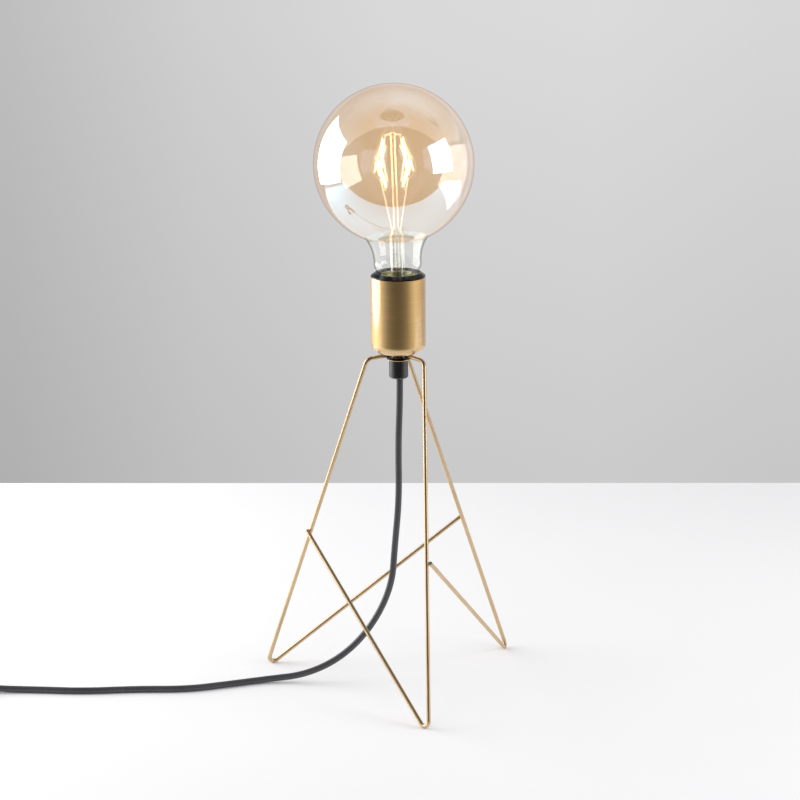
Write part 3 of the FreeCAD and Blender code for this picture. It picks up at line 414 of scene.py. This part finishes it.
def arc_points(first, middle, last, count):
    """Points of the circle through three, from first to last."""
    (ax, ay), (bx, by), (cx, cy) = first, middle, last
    d = 2 * (ax * (by - cy) + bx * (cy - ay) + cx * (ay - by))
    a2, b2, c2 = ax * ax + ay * ay, bx * bx + by * by, cx * cx + cy * cy
    ux = (a2 * (by - cy) + b2 * (cy - ay) + c2 * (ay - by)) / d
    uy = (a2 * (cx - bx) + b2 * (ax - cx) + c2 * (bx - ax)) / d
    radius = math.hypot(ax - ux, ay - uy)
    start, end = math.atan2(ay - uy, ax - ux), math.atan2(cy - uy, cx - ux)
    through = math.atan2(by - uy, bx - ux)
    turn = (end - start) % (2 * math.pi)
    if (through - start) % (2 * math.pi) > turn:
        turn -= 2 * math.pi
    return [
        (ux + radius * math.cos(start + turn * i / count), uy + radius * math.sin(start + turn * i / count))
        for i in range(count + 1)
    ]


# Bulb: sizes in millimetres in the bulb's own frame, from the top of its cap
joint_of = {joint["name"]: joint for joint in frame["joints"]}
cap_top = Vector(joint_of["bulb_turn"]["pos_m"])
bulb_lean = math.radians(-1.85)
bulb_place = Matrix.Translation(cap_top) @ Matrix.Rotation(bulb_lean, 4, "Y")


def envelope(inset, globe_rings):
    """Half outline of the glass from its seat to the top, and how many points lie below the crease."""
    globe_r, globe_height = 62.5, 86.8
    seat_r, seat_depth = 11.4, 5.0
    shoulder_r, shoulder_height = 18.7, 8.4
    neck_r, neck_height = 19.3, 16.9
    crease_r = 24.75
    seat_turn_steps, neck_steps = 16, 24
    big, crease = globe_r - inset, crease_r - inset
    crease_height = globe_height - math.sqrt(big**2 - crease**2)
    seat = (seat_r - inset, -seat_depth)
    turn_r = shoulder_r - seat_r
    low_point = (seat_r - inset, shoulder_height - turn_r)
    diagonal = turn_r * math.sqrt(0.5)
    bend = (seat_r - inset + diagonal, shoulder_height - diagonal)
    shoulder = (shoulder_r - inset, shoulder_height)
    neck = (neck_r - inset, neck_height)
    foot = [seat] + arc_points(low_point, bend, shoulder, seat_turn_steps)
    foot += arc_points(shoulder, neck, (crease, crease_height), neck_steps)[1:]
    start = math.asin((crease_height - globe_height) / big)
    globe = []
    for i in range(1, globe_rings):
        angle = start + (math.pi / 2 - start) * i / globe_rings
        globe.append((big * math.cos(angle), globe_height + big * math.sin(angle)))
    globe.append((0, globe_height + big))
    return foot + globe, len(foot)


def make_envelope():
    """The glass: a coated globe, a clear neck, and an inner face that ends at the crease between the two."""
    wall = 0.8
    outer_rings, outer_segments = 90, 160
    inner_rings, inner_segments = 60, 120
    outer, foot_count = envelope(0, outer_rings)
    inner, inner_foot = envelope(wall, inner_rings)
    points, faces, bands = lathe(outer, outer_segments)
    inner_points, inner_faces = lathe(inner[:inner_foot - 2:-1], inner_segments)[:2]
    coated, clear, inside = range(3)
    materials = [coat_outside, neck_outside, coat_inside]
    kinds = [coated if band > foot_count - 2 else clear for band in bands] + [inside] * len(inner_faces)
    offset = len(points)
    faces += [[c + offset for c in face] for face in inner_faces]
    glass = mesh_object("globe_glass", points + inner_points, faces, materials, kinds)
    glass.matrix_world = bulb_place
    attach(glass, "bulb")
    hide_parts("bulb_glass")


def make_stem():
    """The clear stem: flare, tube, flattened pinch, rod with its button, and the exhaust tube inside.

    The small steps beside the named sizes round the corners of the outlines.
    """
    segments = 40
    flare_r, flare_foot, flare_height = 10.5, -4.0, 5.0
    tube_r, pinch_foot, pinch_top = 5.7, 31.0, 37.0
    rod_r, rod_top, button_r = 1.9, 109.0, 2.5
    exhaust_r, exhaust_tip_r, exhaust_foot = 1.6, 0.6, -6.5
    tube = [
        (flare_r, flare_foot), (flare_r - 2.6, flare_foot + 0.5), (tube_r + 0.7, flare_foot + 2.2),
        (tube_r, flare_foot + flare_height), (tube_r, pinch_foot - 1.5), (tube_r - 0.5, pinch_foot),
        (tube_r - 1.6, pinch_foot + 2.2), (rod_r + 0.7, pinch_top - 1.2), (rod_r, pinch_top + 0.5),
    ]
    exhaust = [(exhaust_r, exhaust_foot), (exhaust_r, pinch_foot - 2), (exhaust_tip_r, pinch_foot - 0.5)]
    rod = [
        (rod_r, pinch_top + 0.5), (rod_r, rod_top - 0.6), (button_r, rod_top + 0.3),
        (button_r, rod_top + 1.4), (button_r * 0.7, rod_top + 2.3), (0, rod_top + 2.5),
    ]
    parts = [lathe(outline, segments)[:2] for outline in (tube, exhaust, rod)]
    stem = gathered("clear_stem", parts, [stem_glass, rod_glass], [0, 0, 1])
    stem.matrix_world = bulb_place
    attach(stem, "bulb")
    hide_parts("bulb_stem")


def stick(start, end, radius, rounding):
    """A round stick with rounded ends between two points, as points and faces."""
    sides, end_angles = 20, (0, 0.5, 1.0, math.pi / 2)
    length = (end - start).length
    outline = [(radius * math.sin(a), rounding * (1 - math.cos(a))) for a in end_angles]
    outline += [(r, length - z) for r, z in outline[::-1]]
    points, faces = lathe(outline, sides)[:2]
    turn = (end - start).to_track_quat("Z", "Y").to_matrix()
    return [turn @ Vector(p) + start * mm for p in points], faces


def make_filaments():
    """Four pairs of leaning sticks, each stick in its glowing coat and with a bare wire at either end."""
    azimuths = (35, 145, 215, 325)
    # Radius and height of a stick's top and foot, and its girth
    upper = ((8.5, 108.8), (13.5, 77.5), 1.0)
    lower = ((16.6, 92.5), (7.2, 67.8), 0.75)
    lit_r, lit_rounding = 1.0, 0.3
    coat_r, coat_rounding, coat_inset = 1.75, 1.2, 1.2
    wire_r, wire_rounding, wire_length = 0.6, 0.1, 2.0
    lit_kind, wire_kind = range(2)
    sticks, kinds, coats = [], [], []
    for azimuth in (math.radians(degrees) for degrees in azimuths):
        for *ends, girth in (upper, lower):
            top, foot = [Vector((r * math.cos(azimuth), r * math.sin(azimuth), z)) for r, z in ends]
            way = (foot - top).normalized()
            tip, inset = way * wire_length, way * coat_inset
            sticks.append(stick(top + tip, foot - tip, lit_r * girth, lit_rounding))
            coats.append(stick(top + inset, foot - inset, coat_r * girth, coat_rounding))
            sticks.append(stick(top, top + tip, wire_r, wire_rounding))
            sticks.append(stick(foot - tip, foot, wire_r, wire_rounding))
            kinds += [lit_kind, wire_kind, wire_kind]
    lit = gathered("lit_filaments", sticks, [lit_stick(), finishes["nickel"]], kinds)
    coat = gathered("filament_coats", coats, [glow_coat()], [0] * len(coats))
    for piece in (lit, coat):
        piece.matrix_world = bulb_place
        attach(piece, "bulb")
    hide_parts("bulb_filaments")
    coat.visible_shadow = False


make_envelope()
make_stem()
make_filaments()


# Cords: sizes and control points in millimetres
cord_r = 2.6


def cord_curve(name, places):
    curve = bpy.data.curves.new(name, "CURVE")
    curve.dimensions = "3D"
    curve.bevel_depth = cord_r * mm
    curve.bevel_resolution = 8
    curve.use_fill_caps = True
    curve.resolution_u = 10
    curve.twist_mode = "MINIMUM"
    line = curve.splines.new("NURBS")
    line.points.add(len(places) - 1)
    for point, (x, y, z) in zip(line.points, places):
        point.co = (x * mm, y * mm, z * mm, 1)
    line.order_u = 3
    line.use_endpoint_u = True
    curve.materials.append(finishes["cord_black"])
    shown = bpy.data.objects.new(name, curve)
    bpy.context.scene.collection.objects.link(shown)
    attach(shown, "lamp")
    return shown


hanging_route = [
    (0.78, -0.45, 251.9), (0.78, -0.45, 234.0), (-0.8, 0.2, 196.0), (-0.3, -0.6, 153.0), (-4.2, -0.4, 112.0),
    (-6.6, -1.8, 80.0), (-22.0, -2.6, 47.0), (-46.0, -7.0, 22.0), (-76.0, -8.4, 7.0), (-108.0, -6.4, 2.6),
    (-140.0, -18.0, 2.6), (-172.0, -28.4, 2.6), (-212.0, -27.4, 2.6), (-254.0, -31.4, 2.6),
    (-292.0, -27.2, 2.6), (-324.0, -26.3, 3.2), (-343.0, -26.0, 6.5), (-362.0, -26.0, 6.5),
]
coil_entry_route = [(-402.0, -26.0, 6.5), (-417.0, -26.0, 6.5), (-432.0, -26.47, 3.7)]
plug_route = [(-436.0, 45.97, 9.4), (-425.5, 46.2, 6.85), (-415.65, 47.94, 6.85)]


def coil_points():
    """The put-away turns: inwards on the floor, then outwards on the layer above.

    The points lie a little outside the turns, because the curve runs inside its control points.
    """
    centre_x, centre_y, first_layer_z = -451.0, 9.8, 3.7
    inner_r, pitch, turns, turns_to_climb = 20.11, 5.7, 5.5, 0.5
    start_angle, points_per_turn = -90, 16
    half = turns / 2
    swell = 1 / math.cos(math.pi / points_per_turn)
    count = round(turns * points_per_turn)
    places = []
    for i in range(count + 1):
        turn = turns * i / count
        radius = inner_r + pitch * abs(turn - half)
        if 0 < i < count:
            radius *= (1 + swell) / 2
        angle = math.radians(start_angle - 360 * turn)
        climbed = min(max((turn - half) / turns_to_climb + 0.5, 0), 1)
        height = first_layer_z + pitch * climbed**2 * (3 - 2 * climbed)
        places.append((centre_x + radius * math.cos(angle), centre_y + radius * math.sin(angle), height))
    return places


hanging = cord_curve("cord_from_lamp_to_switch", hanging_route)
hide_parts("cord_hanging")
wound = cord_curve("cord_from_switch_to_plug", coil_entry_route + coil_points() + plug_route)
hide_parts("cord_to_coil", "cord_coil", "cord_to_plug")


# Stage: sizes in metres
def floor_material():
    material, tree = new_material("floor_white")
    shader = add(tree, "ShaderNodeBsdfPrincipled")
    paint = two_colours(tree, noise(tree, 3, 2.0), (0.88, 0.88, 0.885), (0.9, 0.9, 0.905))
    feed(tree, paint, shader.inputs["Base Color"])
    shader.inputs["Roughness"].default_value = 0.7
    output(tree, shader.outputs["BSDF"])
    return material


def make_floor():
    """A white floor. Its far edge is the line between floor and wall in the picture."""
    half_width, front, back_left, back_right = 1.4, -0.35, 0.606, 0.542
    corners = [(-half_width, front, 0), (half_width, front, 0), (half_width, back_right, 0),
               (-half_width, back_left, 0)]
    floor = mesh_object("floor", corners, [[0, 1, 2, 3]], [floor_material()], smooth=False)


def soft_light(name, centre, width, height, power):
    """A softbox that faces the bulb."""
    target = Vector((0, 0, 0.42))
    light = bpy.data.lights.new(name, "AREA")
    light.shape = "RECTANGLE"
    light.size, light.size_y = width, height
    light.energy = power
    shown = bpy.data.objects.new(name, light)
    bpy.context.scene.collection.objects.link(shown)
    way = target - Vector(centre)
    shown.matrix_world = Matrix.Translation(centre) @ way.to_track_quat("-Z", "Y").to_matrix().to_4x4()
    shown.visible_camera = False


make_floor()
soft_light("left_softbox", (-0.983, 0.321, 0.52), width=1.09, height=0.94, power=11.4)
soft_light("right_softbox", (1.24, -0.38, 0.66), width=0.83, height=0.84, power=8)


def make_world():
    """The camera sees a grey wall. Shiny faces mirror it in a dark room, and matt faces get an even light."""
    wall_across = [(0.355, 0.52), (0.425, 0.63), (0.5, 0.7), (0.575, 0.716), (0.64, 0.685)]
    wall_green = 0.99
    wall_low, low_z, high_z = 0.845, -0.27, -0.105
    front_y, behind_y = -0.1, 0.35
    mirrored_upwards = [(0.25, 1.0), (0.4, 0.4), (0.6, 0.45), (0.75, 0.65), (0.95, 0.8)]
    room_across = [(0.05, (0.26, 0.25, 0.24)), (0.2, (0.08, 0.076, 0.07)), (0.5, (0.035, 0.033, 0.03)),
                   (0.8, (0.05, 0.047, 0.045)), (0.95, (0.16, 0.154, 0.147))]
    mirrored_across = [(0.1, 0.7), (0.3, 0.9), (0.65, 1.0), (0.8, 0.85), (0.95, 0.5)]
    even_light = (0.72, 0.72, 0.73)

    world = bpy.data.worlds.new("studio")
    bpy.context.scene.world = world
    world.use_nodes = True
    tree = world.node_tree
    tree.nodes.clear()
    direction = add(tree, "ShaderNodeSeparateXYZ")
    feed(tree, add(tree, "ShaderNodeTexCoord").outputs["Generated"], direction.inputs["Vector"])
    x, y, z = direction.outputs

    wall_colours = [(place, (level, wall_green * level, level)) for place, level in wall_across]
    across = ramped(tree, number(tree, "ADD", x, 0.5), wall_colours)
    wall = tinted(tree, across, between(tree, z, wall_low, 1, low_z, high_z))

    left_to_right = number(tree, "MULTIPLY_ADD", x, 0.5, 0.5)
    upwards = ramped(tree, z, [(place, grey(level)) for place, level in mirrored_upwards])
    wall_share = number(tree, "MULTIPLY", between(tree, y, 0, 1, front_y, behind_y), upwards)
    level = ramped(tree, left_to_right, [(place, grey(level)) for place, level in mirrored_across])
    room = mixed(tree, wall_share, ramped(tree, left_to_right, room_across), tinted(tree, wall, level))

    path = add(tree, "ShaderNodeLightPath")
    seen = mixed(tree, path.outputs["Is Camera Ray"], room, wall)
    lit = mixed(tree, path.outputs["Is Diffuse Ray"], seen, even_light)
    background = add(tree, "ShaderNodeBackground")
    feed(tree, lit, background.inputs["Color"])
    feed(tree, background.outputs["Background"], add(tree, "ShaderNodeOutputWorld").inputs["Surface"])


def make_camera():
    """The camera at the picture's place."""
    place = (0, -2.038, 0.75171)
    pitch, yaw, roll = math.radians(14.266), math.radians(0.024), math.radians(-0.378)
    focal_length_mm, sensor_width_mm = 119.57, 36.0
    forward = Vector((math.sin(yaw) * math.cos(pitch), math.cos(yaw) * math.cos(pitch), -math.sin(pitch)))
    level = Vector((math.cos(yaw), -math.sin(yaw), 0))
    upright = level.cross(forward)
    right = level * math.cos(roll) + upright * math.sin(roll)
    up = -level * math.sin(roll) + upright * math.cos(roll)
    camera = bpy.data.objects.new("camera", bpy.data.cameras.new("camera"))
    camera.data.lens = focal_length_mm
    camera.data.sensor_width = sensor_width_mm
    bpy.context.scene.collection.objects.link(camera)
    turn = Matrix((right, up, -forward)).transposed().to_4x4()
    camera.matrix_world = Matrix.Translation(place) @ turn
    bpy.context.scene.camera = camera


make_world()
make_camera()
bpy.context.scene.view_settings.view_transform = "Standard"
